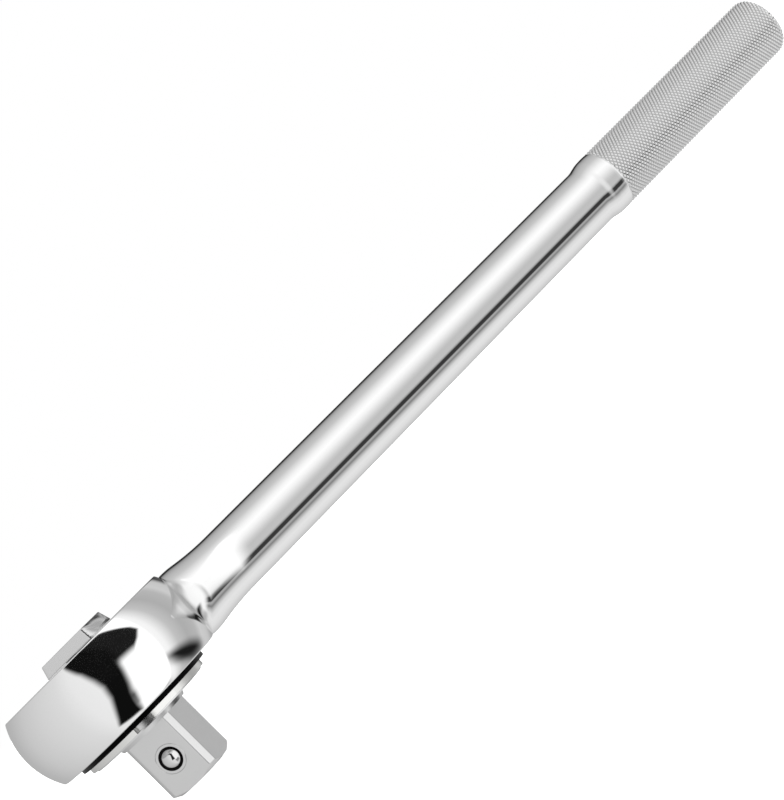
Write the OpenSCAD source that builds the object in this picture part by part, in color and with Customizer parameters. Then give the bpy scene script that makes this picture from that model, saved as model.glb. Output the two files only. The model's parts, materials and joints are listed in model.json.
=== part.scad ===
// Ratchet wrench with a 3/4 inch square drive, a round head and a reversing lever on the drive axis.
// Origin: on the drive axis, at the shoulder where a socket seats.
// +Z points from the drive to the lever, +X along the handle.

/* [Square drive] */
// Width across the flats of the square
square_w = 19.05; // [18.6:0.05:19.4]
// Length of the square below its shoulder
square_l = 21.4; // [19:0.1:26]
// Width of the flat on each long edge of the square, measured along a side
square_chamfer = 1.7; // [1:0.1:2.2]
// Radius of the square's end face where the turned chamfer starts
square_end_r = 9.6; // [9.2:0.1:10.4]
// Turn of the drive and all that rides on it, about the drive axis
drive_turn = -29; // [-60:1:60]
// Diameter of the ball that holds a socket
drive_ball_d = 7.14; // [6.6:0.02:7.2]
// How far the ball can be pressed in
drive_ball_travel = 1.5; // [0.8:0.1:1.8]

/* [Head] */
// Radius of the head at its two rims
head_rim_r = 31.6; // [30.5:0.1:34]
// Radius of the head at mid thickness, where its side is fullest
head_bulge_r = 35; // [34.5:0.1:38]
// Thickness of the head
head_t = 25.6; // [25.6:0.1:28]
// Number of teeth inside the head
tooth_count = 24; // [24:24:24]
// Radius at the roots of the inner teeth
tooth_root_r = 24.2; // [24.1:0.05:24.3]
// Radius at the tips of the inner teeth
tooth_tip_r = 22.2; // [22.2:0.05:22.6]

/* [Handle] */
// Distance from the drive axis to the end of the grip
handle_end_x = 316.4; // [280:0.1:420]
// Height of the handle's axis above the middle of the head
handle_rise = -0.7; // [-1:0.1:0.4]
// Diameter of the shank next to the neck
shank_d = 21.7; // [20:0.1:23]
// Diameter of the shank just before the grip
shank_end_d = 20.6; // [19:0.1:21.5]
// Diameter of the grip
grip_d = 22.5; // [22:0.1:26]
// Length of the knurled grip
grip_l = 82.4; // [60:0.1:110]
// Radius of the rounding at the end of the grip
grip_end_r = 3.4; // [1:0.1:6]
// Radius of the hollow curve from the shank into the neck
neck_curve_r = 85; // [80:1:200]

/* [Lever] */
// Height of the lever's top above the head
lever_rise = 4.4; // [4:0.1:7]
// Radius of the lever at its foot
lever_foot_r = 13.2; // [11:0.1:13.8]
// Radius of the lever at its top
lever_top_r = 12.2; // [10:0.1:13]
// Half the distance between the lever's two flat sides, at the foot
lever_foot_half_w = 8.4; // [7:0.1:9.5]
// Half the distance between the lever's two flat sides, at the top
lever_top_half_w = 7.7; // [6:0.1:8.5]
// Direction of the lever's long side at rest
lever_turn = -34; // [-60:1:60]
// Angle between the lever's two positions
lever_throw = 40; // [40:1:40]

/* [Pawls] */
// Radius from the drive axis to each pawl's pivot
pivot_r = 16.5; // [16.4:0.1:16.6]
// Angle from the mechanism's mid plane to each pawl's pivot
pivot_angle = 125; // [124.8:0.1:125.2]
// Radius of a pawl's round heel
heel_r = 4.2; // [4:0.1:4.2]
// Radius of the pivot pins
pin_r = 2; // [1.5:0.1:2.2]
// Angle that a pawl rocks between engaged and drawn in
pawl_rock = 12; // [11.8:0.1:12.2]

/* [Rings] */
// Outer radius of the black cover plate
plate_r = 25.5; // [25:0.1:28]
// Thickness of the cover plate
plate_t = 1.3; // [1:0.1:1.6]
// Outer radius of the split ring under the cover plate
split_ring_r = 23.4; // [23:0.1:24.5]
// Thickness of the split ring
split_ring_t = 2.65; // [2:0.05:3]
// Width of the gap in the split ring
split_gap = 7; // [4:0.1:10]
// Direction of the gap in the split ring
split_gap_turn = -99; // [-180:1:180]

/* [Hidden] */
$fn = 96;

// Clearances: rotating fits, parts that slide past each other, and a cut's overshoot
fit_gap = 0.05;
free_gap = 0.2;
over = 1;

// Levels from the socket shoulder upwards
collar_t = 2;
lip_t = 0.55;
lip_z = collar_t;
ring_z = lip_z + lip_t;
plate_z = ring_z + split_ring_t + fit_gap;
head_z = plate_z + plate_t + fit_gap;
head_mid = head_z + head_t / 2;
head_top = head_z + head_t;
bearing_top = head_z + 4.2;
pocket_z = head_z + 5.8;
pocket_top = pocket_z + 12;
core_top = pocket_top + 2.1;
cavity_top = core_top + 0.3;
washer_z = head_top - 2.6;
washer_t = 0.7;
circlip_z = washer_z + washer_t + 0.1;
circlip_t = 1;
neck_top = head_top - 0.1;
lever_z = head_top + 0.15;
lever_top = head_top + lever_rise;

// Radii of the spindle and of the head's bores
bearing_bore_r = tooth_root_r + 0.4;
core_r = tooth_tip_r - 0.3;
hub_r = 22;
hub_groove_r = 20.6;
neck_bore_r = 14.5;
washer_r = 17.4;
cam_bore_r = 9;
collar_r = 13.6;
collar_foot_r = 12.7;

// Selector cam
cam_r = cam_bore_r - 0.25;
cam_relief_r = 7.3;
cam_neck_r = 7.2;
cam_stub_r = 4;
cam_stub_l = 3.4;
cam_flange_z = pocket_top + free_gap;
cam_flange_top = washer_z - 0.6;
cam_clip_t = 0.9;
cam_post_w = 8.4;
cam_post_top = lever_z + 2.3;
cam_land = 44;
cam_relief = 40;

// Detent ball in the cam, and the groove in the spindle's bore that it runs in
detent_r = 1.5;
detent_seat = 7.9;
detent_z = pocket_z + 6;
detent_groove_t = 2.2;
detent_groove_depth = detent_seat + detent_r + 0.03 - cam_bore_r;

// Lever screw
screw_r = 2;
screw_head_r = 3.8;
screw_head_t = 1.8;

// Crown of the square's turned end: a sphere through the end circle, centred on the drive axis
end_crown_r = 22.7;
end_crown_z = -square_l + sqrt(pow(end_crown_r, 2) - pow(square_end_r, 2));

// Drive ball in its stepped hole, with a fine staked groove round the mouth
ball_r = drive_ball_d / 2;
ball_z = -square_l / 2 + 0.2;
ball_depth = 1.85;
ball_lip_r = ball_r - 0.17;
ball_bore_r = ball_r + 0.08;
ball_mouth_r = ball_r + 0.28;
ball_spring_least = 4.08;
ball_bore_l = ball_depth + ball_r + drive_ball_travel + ball_spring_least;
stake_r = 4.95;
stake_w = 0.25;
stake_depth = 0.12;

// Inner teeth: half angles of a tooth at its tip and at its root
tooth_pitch = 360 / tooth_count;
tip_half = 2.2;
root_half = 5.4;

// Pawls: height in their pockets, half angles of a tooth, its tip's radius, and the tail's reach
pawl_z = pocket_z + free_gap;
pawl_t = pocket_top - pocket_z - 2 * free_gap;
pawl_tip_half = 1.4;
pawl_base_half = 4.6;
pawl_tip_r = tooth_root_r - 0.6;
pawl_base_r = core_r - 0.3;
pawl_tail_r = 7.9;

// Side wall of the head: an arc of this radius passes through both rims and the fullest point
head_bulge = head_bulge_r - head_rim_r;
head_arc_r = (pow(head_t / 2, 2) + pow(head_bulge, 2)) / (2 * head_bulge);
rim_break = 0.4;

// Handle: the neck's hollow curve starts level with the shank at neck_x and swells towards the
// head up to neck_max_r; inside the head the neck narrows, so that it stays under the rims
grip_x = handle_end_x - grip_l;
swell_x = grip_x - 9;
band_x = grip_x - 4.5;
neck_x = 52;
neck_in = 22;
neck_in_r = 11.2;
neck_full_x = 33.5;
neck_max_r = 12.35;
neck_steps = 8;

// Coil springs
spring_sides = 8;
spring_steps = 20;
pawl_spring_x = 8.5;
pawl_spring_seat = 7.6;
pawl_spring_r = 1.35;
pawl_spring_wire = 0.25;

// Shapes shared by several parts

function polar(r, a) = [r * cos(a), r * sin(a)];

pivot = polar(pivot_r, pivot_angle);

// Closed outline of the toothed bore: root, flank, tip and flank for each tooth
function toothed_outline() = [
    for (i = [0:tooth_count - 1], p = [[tooth_root_r, -root_half], [tooth_tip_r, -tip_half],
        [tooth_tip_r, tip_half], [tooth_root_r, root_half]])
        polar(p[0], i * tooth_pitch + p[1])
];

// One tooth of a pawl: it stands between two head teeth, slim enough to swing out past them
function pawl_tooth(a) = [
    polar(pawl_base_r, a - pawl_base_half), polar(pawl_tip_r, a - pawl_tip_half),
    polar(pawl_tip_r, a + pawl_tip_half), polar(pawl_base_r, a + pawl_base_half)
];

// Points of one ring of a coil spring's wire, at turn angle a and height z
function wire_ring(r, wire, a, z) = [
    for (k = [0:spring_sides - 1])
        let (b = 360 * k / spring_sides)
        [(r + wire * cos(b)) * cos(a), (r + wire * cos(b)) * sin(a), z + wire * sin(b)]
];

// Helix of round wire standing on z = 0: the wire's ring is carried round and up in equal steps
module coil(r, wire, length, turns) {
    count = turns * spring_steps;
    points = [
        for (i = [0:count])
            each wire_ring(r, wire, 360 * i / spring_steps,
                wire + (length - 2 * wire) * i / count)
    ];
    sides = [
        for (i = [0:count - 1], k = [0:spring_sides - 1])
            let (n = (k + 1) % spring_sides, p = i * spring_sides, q = p + spring_sides)
            [p + k, p + n, q + n, q + k]
    ];
    start_cap = [for (k = [spring_sides - 1:-1:0]) k];
    end_cap = [for (k = [0:spring_sides - 1]) count * spring_sides + k];
    polyhedron(points, concat(sides, [start_cap, end_cap]), convexity = 10);
}

// Flat ring between two radii
module ring(outer, inner, h) {
    difference() {
        cylinder(h = h, r = outer);
        translate([0, 0, -over]) cylinder(h = h + 2 * over, r = inner);
    }
}

// Flat ring with a gap towards +X and a round plier hole beside each end of the gap
module open_ring(outer, inner, h, gap, hole_r) {
    middle = (outer + inner) / 2;
    lug = asin((gap / 2 + 2.2 * hole_r) / middle);
    difference() {
        ring(outer, inner, h);
        translate([0, -gap / 2, -over]) cube([outer + over, gap, h + 2 * over]);
        for (side = [-1, 1])
            rotate([0, 0, side * lug])
                translate([middle, 0, -over]) cylinder(h = h + 2 * over, r = hole_r, $fn = 24);
    }
}

// Places its children in the drive's own frame: mid plane on X, turned to the rest position
module on_drive() {
    rotate([0, 0, drive_turn]) children();
}

// Handle body: crowned head, neck, shank and grip in one forging

module head_blank() {
    rotate_extrude()
        intersection() {
            translate([head_bulge_r - head_arc_r, 0]) circle(r = head_arc_r, $fn = 240);
            polygon([
                [0, -head_t / 2], [head_rim_r - rim_break, -head_t / 2],
                [head_rim_r + rim_break, -head_t / 2 + rim_break], [head_bulge_r + over, 0],
                [head_rim_r + rim_break, head_t / 2 - rim_break],
                [head_rim_r - rim_break, head_t / 2], [0, head_t / 2]
            ]);
        }
}

function neck_r(x) =
    min(neck_max_r, shank_d / 2 + neck_curve_r - sqrt(pow(neck_curve_r, 2) - pow(neck_x - x, 2)));

// Half outline of the handle, radius against distance along it, turned about the handle's axis
module handle_outline() {
    polygon(concat(
        [[0, neck_in], [neck_in_r, neck_in]],
        [
            for (i = [0:neck_steps])
                let (x = neck_full_x + (neck_x - neck_full_x) * i / neck_steps)
                [neck_r(x), x]
        ],
        [[shank_end_d / 2, swell_x], [grip_d / 2, band_x], [0, band_x]]
    ));
    translate([0, band_x]) square([grip_d / 2, handle_end_x - grip_end_r - band_x]);
    translate([0, band_x]) square([grip_d / 2 - grip_end_r, handle_end_x - band_x]);
    translate([grip_d / 2 - grip_end_r, handle_end_x - grip_end_r]) circle(r = grip_end_r);
}

module handle_body() {
    color("gainsboro")
        difference() {
            union() {
                translate([0, 0, head_mid]) rotate([0, 0, 135]) head_blank();
                translate([0, 0, head_mid + handle_rise])
                    rotate([0, 90, 0])
                        rotate([0, 0, 45]) rotate_extrude() handle_outline();
            }
            translate([0, 0, head_z - over])
                cylinder(h = bearing_top - head_z + over, r = bearing_bore_r);
            on_drive()
                translate([0, 0, head_z])
                    linear_extrude(cavity_top - head_z) polygon(toothed_outline());
            cylinder(h = head_top + over, r = neck_bore_r);
            translate([0, 0, washer_z]) cylinder(h = head_top, r = washer_r + free_gap);
        }
}

module thrust_washer() {
    color("darkgray")
        translate([0, 0, washer_z]) ring(washer_r, neck_bore_r + fit_gap, washer_t);
}

// Drive spindle: bearing disc, core with two pawl pockets, neck, hub, collar and square

// Room that a pawl sweeps in the core, on the +Y side of the mid plane
module pawl_room() {
    polygon([
        polar(26, 47), polar(16, 47), [-5, 9.6], [-7, 1.9], [-10.3, 1.9], [-12.4, 11.5],
        polar(26, 118), polar(32, 82)
    ]);
    translate(pivot) circle(r = heel_r + 0.15);
}

module square_blank() {
    half = square_w / 2;
    flat = half - square_chamfer;
    intersection() {
        translate([0, 0, -square_l])
            linear_extrude(square_l + over)
                polygon([
                    [half, -flat], [half, flat], [flat, half], [-flat, half],
                    [-half, flat], [-half, -flat], [-flat, -half], [flat, -half]
                ]);
        translate([0, 0, end_crown_z]) sphere(r = end_crown_r);
    }
}

// Ball hole in the face towards -Y: a flared mouth, a lip that keeps the ball, and a deep bore
module ball_hole() {
    translate([0, -square_w / 2, ball_z])
        rotate([-90, 0, 0]) {
            translate([0, 0, -over]) ring(stake_r, stake_r - stake_w, over + stake_depth);
            translate([0, 0, -over]) cylinder(h = over + 0.01, r = ball_mouth_r);
            cylinder(h = 0.55, r1 = ball_mouth_r, r2 = ball_lip_r);
            cylinder(h = 0.8, r = ball_lip_r);
            translate([0, 0, 0.8]) cylinder(h = ball_bore_l - 0.8, r = ball_bore_r);
        }
}

module spindle_blank() {
    square_blank();
    cylinder(h = collar_t + 0.01, r1 = collar_foot_r, r2 = collar_r);
    translate([0, 0, lip_z]) cylinder(h = lip_t, r = hub_r);
    translate([0, 0, ring_z - 0.01]) cylinder(h = split_ring_t + 0.06, r = hub_groove_r);
    translate([0, 0, plate_z]) cylinder(h = head_z + 0.3 - plate_z, r = hub_r);
    translate([0, 0, head_z + 0.3])
        cylinder(h = bearing_top - free_gap - head_z - 0.3, r = bearing_bore_r - fit_gap);
    translate([0, 0, bearing_top - free_gap - 0.01])
        cylinder(h = core_top - bearing_top + free_gap + 0.01, r = core_r);
    translate([0, 0, core_top - 0.01])
        cylinder(h = neck_top - core_top + 0.01, r = neck_bore_r - fit_gap);
}

module drive_spindle() {
    color("lightgray")
        on_drive()
            difference() {
                spindle_blank();
                for (side = [0, 1])
                    mirror([0, side, 0]) {
                        translate([0, 0, pocket_z])
                            linear_extrude(pocket_top - pocket_z) pawl_room();
                        translate([pivot[0], pivot[1], head_z - over])
                            cylinder(h = core_top - head_z, r = pin_r);
                        translate([pawl_spring_x, pawl_spring_seat, pocket_z + 6])
                            rotate([-90, 0, 0]) cylinder(h = 8, r = pawl_spring_r + 0.5);
                    }
                // Bore of the selector cam, its lower bearing and its circlip groove
                translate([0, 0, pocket_z]) cylinder(h = head_t, r = cam_bore_r);
                translate([0, 0, pocket_z - cam_stub_l])
                    cylinder(h = head_t, r = cam_stub_r + fit_gap);
                translate([0, 0, cam_flange_top + 0.1])
                    cylinder(h = cam_clip_t + 0.05, r = cam_bore_r + 0.8);
                // Groove of the outer circlip
                translate([0, 0, circlip_z - 0.03])
                    ring(neck_bore_r + over, neck_bore_r - 1.05, circlip_t + 0.06);
                // Groove of the detent ball
                translate([0, 0, detent_z - detent_groove_t / 2])
                    cylinder(h = detent_groove_t, r = cam_bore_r + detent_groove_depth);
                ball_hole();
            }
}

module cover_plate() {
    color("black")
        translate([0, 0, plate_z]) ring(plate_r, hub_r + fit_gap, plate_t);
}

module split_ring() {
    color("gainsboro")
        translate([0, 0, ring_z])
            rotate([0, 0, split_gap_turn])
                open_ring(split_ring_r, hub_groove_r + fit_gap, split_ring_t, split_gap, 0.6);
}

module spindle_circlip() {
    color("dimgray")
        translate([0, 0, circlip_z])
            rotate([0, 0, drive_turn + 180])
                open_ring(neck_bore_r + 2.2, neck_bore_r - 1, circlip_t, 6, 0.8);
}

// Pawls, engaged shape on the +Y side of the mid plane

module pawl_shape() {
    translate([0, 0, pawl_z])
        difference() {
            union() {
                linear_extrude(pawl_t)
                    polygon(concat(
                        [polar(18.2, 61)], pawl_tooth(67.5), pawl_tooth(82.5),
                        [polar(21.2, 100), polar(20.5, 116), pivot, [-7.57, 10.45]]
                    ));
                linear_extrude(pawl_t)
                    polygon([
                        [-7.35, 14.11], polar(pawl_tail_r, 143), polar(pawl_tail_r, 158),
                        [-11.58, 12.92]
                    ]);
                translate([pivot[0], pivot[1], 0]) cylinder(h = pawl_t, r = heel_r);
            }
            translate([pivot[0], pivot[1], -over])
                cylinder(h = pawl_t + 2 * over, r = pin_r + fit_gap);
        }
}

module pawl_forward() {
    color("slategray")
        on_drive()
            translate(pivot) rotate([0, 0, -pawl_rock]) translate(-pivot) pawl_shape();
}

module pawl_reverse() {
    color("slategray")
        on_drive() mirror([0, 1, 0]) pawl_shape();
}

module pawl_pin(side) {
    on_drive()
        translate([pivot[0], side * pivot[1], head_z + 0.3])
            cylinder(h = core_top - head_z - 1.4, r = pin_r);
}

module pawl_pin_forward() {
    color("silver") pawl_pin(1);
}

module pawl_pin_reverse() {
    color("silver") pawl_pin(-1);
}

// Spring from its seat in the core to the pawl's inner side, length given along the mid plane's normal
module pawl_spring(side, length) {
    on_drive()
        translate([pawl_spring_x, side * pawl_spring_seat, pocket_z + 6])
            rotate([-side * 90, 0, 0])
                coil(pawl_spring_r, pawl_spring_wire, length, 5);
}

module pawl_spring_forward() {
    color("goldenrod") pawl_spring(1, 3.9);
}

module pawl_spring_reverse() {
    color("goldenrod") pawl_spring(-1, 7.7);
}

// Selector: cam, its circlip and seal, lever, screw and detent

// Centre of the cam's land at rest: it holds the forward pawl's tail out
cam_land_angle = 180 - lever_throw / 2;

// Wedge of the relief zone from angle a, cam_relief wide, between the relief radius and beyond
module relief(a) {
    linear_extrude(cam_flange_z - pocket_z)
        polygon([
            polar(cam_relief_r, a), polar(cam_r + over, a - 3), polar(1.3 * cam_r, a + cam_relief / 2),
            polar(cam_r + over, a + cam_relief + 3), polar(cam_relief_r, a + cam_relief),
            polar(cam_relief_r, a + cam_relief * 0.75), polar(cam_relief_r, a + cam_relief / 2),
            polar(cam_relief_r, a + cam_relief * 0.25)
        ]);
}

module selector_cam() {
    color("darkgray")
        on_drive()
            difference() {
                union() {
                    translate([0, 0, pocket_z - cam_stub_l + 0.3])
                        cylinder(h = cam_stub_l, r = cam_stub_r);
                    translate([0, 0, pocket_z + free_gap])
                        cylinder(h = cam_flange_z - pocket_z, r = cam_r);
                    translate([0, 0, cam_flange_z])
                        cylinder(h = cam_flange_top - cam_flange_z, r = cam_bore_r - fit_gap);
                    translate([0, 0, cam_flange_top - 0.01])
                        cylinder(h = neck_top - cam_flange_top, r = cam_neck_r);
                    rotate([0, 0, lever_turn - drive_turn])
                        translate([-cam_post_w / 2, -cam_post_w / 2, neck_top - over])
                            cube([cam_post_w, cam_post_w, cam_post_top - neck_top + over]);
                }
                translate([0, 0, pocket_z]) {
                    relief(cam_land_angle - cam_land / 2 - cam_relief);
                    relief(cam_land_angle + cam_land / 2);
                }
                // Blind hole of the detent ball, and the tapped hole of the lever screw
                rotate([0, 0, -lever_throw / 2])
                    translate([3, 0, detent_z])
                        rotate([0, 90, 0]) cylinder(h = cam_r, r = detent_r + fit_gap);
                translate([0, 0, lever_z - 6]) cylinder(h = head_t, r = screw_r);
            }
}

module cam_circlip() {
    color("dimgray")
        on_drive()
            translate([0, 0, cam_flange_top + 0.12])
                open_ring(cam_bore_r + 0.75, cam_neck_r + 0.3, cam_clip_t, 4, 0.45);
}

module cam_seal() {
    seal_r = (cam_bore_r - cam_neck_r) / 2 - 0.03;
    color("black")
        translate([0, 0, neck_top - seal_r - 0.3])
            rotate_extrude()
                translate([(cam_bore_r + cam_neck_r) / 2, 0]) circle(r = seal_r, $fn = 32);
}

module reversing_lever() {
    color("gainsboro")
        rotate([0, 0, lever_turn])
            difference() {
                intersection() {
                    translate([0, 0, lever_z])
                        cylinder(h = lever_top - lever_z, r1 = lever_foot_r, r2 = lever_top_r);
                    rotate([90, 0, 90])
                        translate([0, 0, -lever_foot_r - over])
                            linear_extrude(2 * (lever_foot_r + over))
                                polygon([
                                    [-lever_foot_half_w, lever_z], [lever_foot_half_w, lever_z],
                                    [lever_top_half_w, lever_top], [-lever_top_half_w, lever_top]
                                ]);
                }
                translate([-cam_post_w / 2 - fit_gap, -cam_post_w / 2 - fit_gap, lever_z - over])
                    cube([cam_post_w + 2 * fit_gap, cam_post_w + 2 * fit_gap,
                        cam_post_top - lever_z + over + 0.1]);
                cylinder(h = lever_top + over, r = screw_r + 0.1);
                translate([0, 0, lever_top - screw_head_t])
                    cylinder(h = screw_head_t + 0.01, r1 = screw_r + 0.1, r2 = screw_head_r + 0.1);
            }
}

// Countersunk screw with a cross slot of plain shape
module lever_screw() {
    slot_w = 0.9;
    slot_l = 4.4;
    color("darkgray")
        rotate([0, 0, lever_turn])
            difference() {
                union() {
                    translate([0, 0, lever_top - screw_head_t - 0.05])
                        cylinder(h = screw_head_t, r1 = screw_r, r2 = screw_head_r);
                    translate([0, 0, lever_z - 5.5])
                        cylinder(h = lever_top - screw_head_t - lever_z + 5.5, r = screw_r);
                }
                for (a = [0, 90])
                    rotate([0, 0, a + 12])
                        translate([-slot_l / 2, -slot_w / 2, lever_top - 1.3])
                            cube([slot_l, slot_w, 2]);
            }
}

module detent_ball() {
    color("silver")
        on_drive()
            rotate([0, 0, -lever_throw / 2])
                translate([detent_seat, 0, detent_z]) sphere(r = detent_r);
}

module detent_spring() {
    color("goldenrod")
        on_drive()
            rotate([0, 0, -lever_throw / 2])
                translate([3.05, 0, detent_z])
                    rotate([0, 90, 0]) coil(1.1, 0.18, detent_seat - detent_r - 3.1, 5);
}

// Ball and spring in the square

module drive_ball() {
    color("silver")
        on_drive()
            translate([0, -square_w / 2 + ball_depth, ball_z]) sphere(r = ball_r);
}

module drive_ball_spring() {
    back = ball_depth + ball_r + 0.05;
    color("goldenrod")
        on_drive()
            translate([0, -square_w / 2 + back, ball_z])
                rotate([-90, 0, 0]) coil(2.5, 0.35, ball_bore_l - back - 0.05, 5);
}

handle_body();
thrust_washer();
drive_spindle();
cover_plate();
split_ring();
spindle_circlip();
pawl_forward();
pawl_reverse();
pawl_pin_forward();
pawl_pin_reverse();
pawl_spring_forward();
pawl_spring_reverse();
selector_cam();
cam_circlip();
cam_seal();
reversing_lever();
lever_screw();
detent_ball();
detent_spring();
drive_ball();
drive_ball_spring();
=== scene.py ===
"""Ratchet wrench with a 3/4 inch square drive: the looks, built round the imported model.

Lengths inside the functions are millimetres; MM turns them into the scene's metres.
"""

import json
import math

import bmesh
import bpy
import numpy as np
from mathutils import Matrix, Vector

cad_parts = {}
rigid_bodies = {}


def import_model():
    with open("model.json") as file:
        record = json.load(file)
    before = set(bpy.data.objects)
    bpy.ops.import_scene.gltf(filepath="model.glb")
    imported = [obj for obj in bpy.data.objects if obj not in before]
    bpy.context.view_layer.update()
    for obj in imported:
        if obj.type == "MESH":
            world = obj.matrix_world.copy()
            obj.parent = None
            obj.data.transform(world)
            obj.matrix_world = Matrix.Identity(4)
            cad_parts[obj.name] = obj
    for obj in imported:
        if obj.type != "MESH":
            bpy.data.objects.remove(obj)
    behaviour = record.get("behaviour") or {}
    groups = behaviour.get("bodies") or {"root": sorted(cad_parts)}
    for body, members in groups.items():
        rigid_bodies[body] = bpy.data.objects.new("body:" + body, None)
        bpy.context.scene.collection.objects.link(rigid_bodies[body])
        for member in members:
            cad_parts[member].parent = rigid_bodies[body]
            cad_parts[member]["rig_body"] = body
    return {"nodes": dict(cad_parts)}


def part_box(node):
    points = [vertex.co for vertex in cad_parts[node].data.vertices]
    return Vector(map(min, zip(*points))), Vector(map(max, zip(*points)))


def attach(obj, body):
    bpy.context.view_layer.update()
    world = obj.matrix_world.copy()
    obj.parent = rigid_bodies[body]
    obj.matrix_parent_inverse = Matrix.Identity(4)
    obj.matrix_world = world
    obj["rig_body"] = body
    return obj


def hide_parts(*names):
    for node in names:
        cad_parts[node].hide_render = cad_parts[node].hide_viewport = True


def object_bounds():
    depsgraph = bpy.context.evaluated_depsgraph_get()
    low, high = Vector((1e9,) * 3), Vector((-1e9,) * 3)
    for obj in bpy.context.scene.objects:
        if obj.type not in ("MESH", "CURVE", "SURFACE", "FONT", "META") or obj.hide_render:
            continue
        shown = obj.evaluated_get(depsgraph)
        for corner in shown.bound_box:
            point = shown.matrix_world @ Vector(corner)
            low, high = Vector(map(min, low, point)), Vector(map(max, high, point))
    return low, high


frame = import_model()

bl_info = {
    "name": "Ratchet wrench looks",
    "version": (1, 0, 0),
    "blender": (4, 5, 0),
    "location": "3D View > Sidebar > Ratchet",
    "description": "Forged handle, square drive, lever, rings and studio of a ratchet wrench",
    "category": "Object",
}

MM = 0.001
CAD_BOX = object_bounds()
HEAD_LOW, HEAD_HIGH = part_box("handle_body")
HEAD_Z = HEAD_LOW.z / MM
HEAD_TOP = HEAD_HIGH.z / MM
HEAD_MID = (HEAD_Z + HEAD_TOP) / 2


# Colours, nodes and materials


def linear(code):
    """Linear RGBA of an sRGB hex value."""
    c = np.array([int(code[i:i + 2], 16) for i in (0, 2, 4)]) / 255
    c = np.where(c <= 0.04045, c / 12.92, ((c + 0.055) / 1.055) ** 2.4)
    return (*c.tolist(), 1.0)


def add_node(tree, kind, settings=None, links=None):
    """Adds a node. Settings name its properties; links give each input a value or an output."""
    node = tree.nodes.new(kind)
    for key, value in (settings or {}).items():
        setattr(node, key, value)
    for key, value in (links or {}).items():
        if isinstance(value, bpy.types.NodeSocket):
            tree.links.new(value, node.inputs[key])
        else:
            node.inputs[key].default_value = value
    return node


def fill_ramp(ramp, stops):
    """Sets a colour ramp's stops, each a position and a hex value."""
    ramp.interpolation = "LINEAR"
    while len(ramp.elements) < len(stops):
        ramp.elements.new(1.0)
    for element, (place, code) in zip(ramp.elements, stops):
        element.position = place
        element.color = linear(code)


def new_tree(name):
    """A new material's name, its node tree and its output node."""
    material = bpy.data.materials.new(name)
    material.use_nodes = True
    material.node_tree.nodes.clear()
    return material, material.node_tree, add_node(material.node_tree, "ShaderNodeOutputMaterial")


def metal(name, tint, rough, spread, wave, grain=None, painted_shade=None):
    """Metal with a slow waviness and, where given, a finer grain.

    wave and grain are a size and a depth in mm; grain also has the stretch of its lines along X.
    Roughness wanders by spread over patches of about 6 mm, as rubbed and handled metal does.
    The last argument is a painted shade: a colour mixed in where the piece's groove attribute is,
    darkening grooves and hollows as shade would.
    """
    material, tree, out = new_tree(name)
    place = add_node(tree, "ShaderNodeTexCoord").outputs["Object"]
    slow = add_node(tree, "ShaderNodeTexNoise", None, {
        "Vector": place, "Scale": 1 / (wave[0] * MM), "Detail": 1.0})
    bump = add_node(tree, "ShaderNodeBump", None, {
        "Height": slow.outputs["Fac"], "Distance": wave[1] * MM, "Strength": 1.0})
    if grain:
        size, depth, stretch = grain
        lines = add_node(tree, "ShaderNodeMapping", None, {
            "Vector": place, "Scale": (1 / stretch, 1, 1)})
        fine = add_node(tree, "ShaderNodeTexNoise", None, {
            "Vector": lines.outputs["Vector"], "Scale": 1 / (size * MM), "Detail": 4.0})
        bump = add_node(tree, "ShaderNodeBump", None, {
            "Height": fine.outputs["Fac"], "Distance": depth * MM, "Strength": 1.0,
            "Normal": bump.outputs["Normal"]})
    patches = add_node(tree, "ShaderNodeTexNoise", None, {
        "Vector": place, "Scale": 1 / (6.0 * MM), "Detail": 5.0, "Roughness": 0.65})
    wander = add_node(tree, "ShaderNodeMapRange", None, {
        "Value": patches.outputs["Fac"], "From Min": 0.3, "From Max": 0.7,
        "To Min": rough - spread, "To Max": rough + spread})
    # Painted shade: the colour turns to the shade colour as the groove attribute rises to 1
    colour = linear(tint)
    if painted_shade:
        groove = add_node(tree, "ShaderNodeAttribute", {"attribute_name": "groove"})
        colour = add_node(tree, "ShaderNodeMix", {"data_type": "RGBA"}, {
            0: groove.outputs["Fac"], 6: linear(tint), 7: linear(painted_shade)}).outputs[2]
    shader = add_node(tree, "ShaderNodeBsdfPrincipled", None, {
        "Base Color": colour, "Metallic": 1.0, "Roughness": wander.outputs["Result"],
        "Normal": bump.outputs["Normal"]})
    tree.links.new(shader.outputs["BSDF"], out.inputs["Surface"])
    return material


def rubber(name, tint, rough):
    """Moulded rubber: dull, with a fine pebbled skin of 0.2 mm."""
    material, tree, out = new_tree(name)
    place = add_node(tree, "ShaderNodeTexCoord").outputs["Object"]
    skin = add_node(tree, "ShaderNodeTexNoise", None, {
        "Vector": place, "Scale": 1 / (0.2 * MM), "Detail": 2.0})
    bump = add_node(tree, "ShaderNodeBump", None, {
        "Height": skin.outputs["Fac"], "Distance": 0.02 * MM, "Strength": 0.6})
    shader = add_node(tree, "ShaderNodeBsdfPrincipled", None, {
        "Base Color": linear(tint), "Roughness": rough, "IOR": 1.52,
        "Normal": bump.outputs["Normal"]})
    tree.links.new(shader.outputs["BSDF"], out.inputs["Surface"])
    return material


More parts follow.
